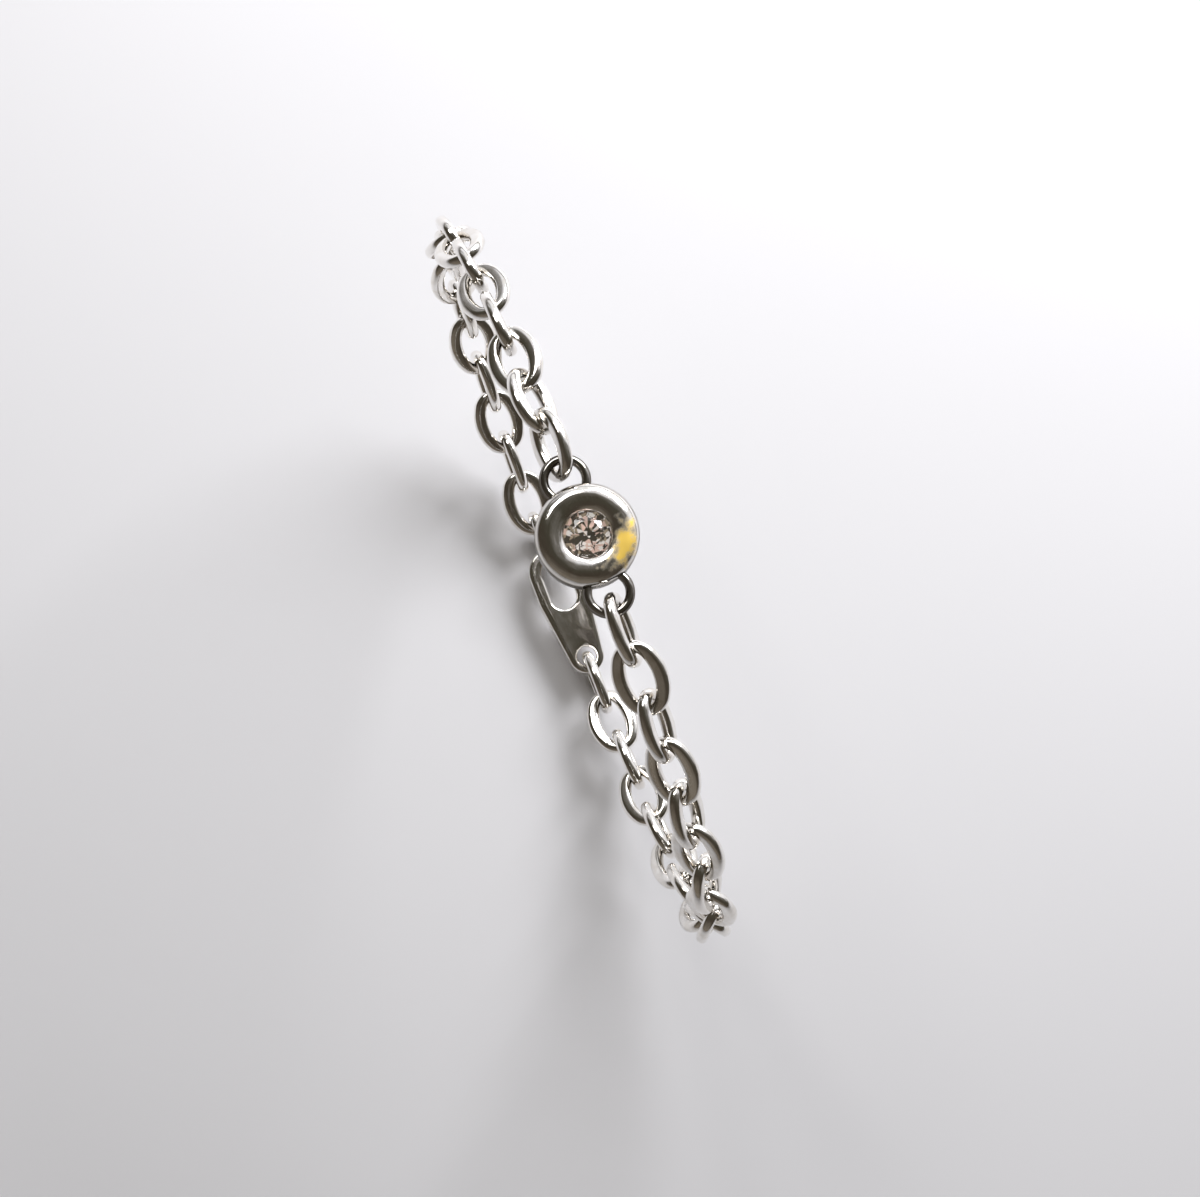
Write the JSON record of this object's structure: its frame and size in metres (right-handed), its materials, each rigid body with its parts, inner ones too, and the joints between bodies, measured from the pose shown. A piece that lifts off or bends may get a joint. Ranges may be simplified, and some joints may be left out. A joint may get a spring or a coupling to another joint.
{
  "type": "chain bracelet",
  "caption": "Silver cable chain bracelet with a round domed disc set with a brilliant stone, closed in the oval form it takes on a wrist.",
  "frame": {"origin": "the centre of the wrist that the bracelet goes round", "axes": "+X along the wrist, +Z out through the disc, +Y round towards the upper side of the chain"},
  "size_m": [0.0088, 0.0711, 0.0504],
  "materials": {
    "silver": "polished",
    "stone": "polished"
  },
  "bodies": {
    "root": {"setting": "silver", "stone": "stone", "clasp": "silver", "link_lower_01": "silver", "link_lower_02": "silver", "link_lower_03": "silver", "link_lower_04": "silver", "link_lower_05": "silver", "link_lower_06": "silver", "link_lower_07": "silver", "link_lower_08": "silver", "link_lower_09": "silver", "link_lower_10": "silver", "link_lower_11": "silver", "link_lower_12": "silver", "link_lower_13": "silver", "link_lower_14": "silver", "link_lower_15": "silver", "link_lower_16": "silver", "link_lower_17": "silver", "link_lower_18": "silver", "link_upper_01": "silver", "link_upper_02": "silver", "link_upper_03": "silver", "link_upper_04": "silver", "link_upper_05": "silver", "link_upper_06": "silver", "link_upper_07": "silver", "link_upper_08": "silver", "link_upper_09": "silver", "link_upper_10": "silver", "link_upper_11": "silver", "link_upper_12": "silver", "link_upper_13": "silver", "link_upper_14": "silver", "link_upper_15": "silver", "link_upper_16": "silver", "link_upper_17": "silver", "link_upper_18": "silver"}
  },
  "joints": []
}
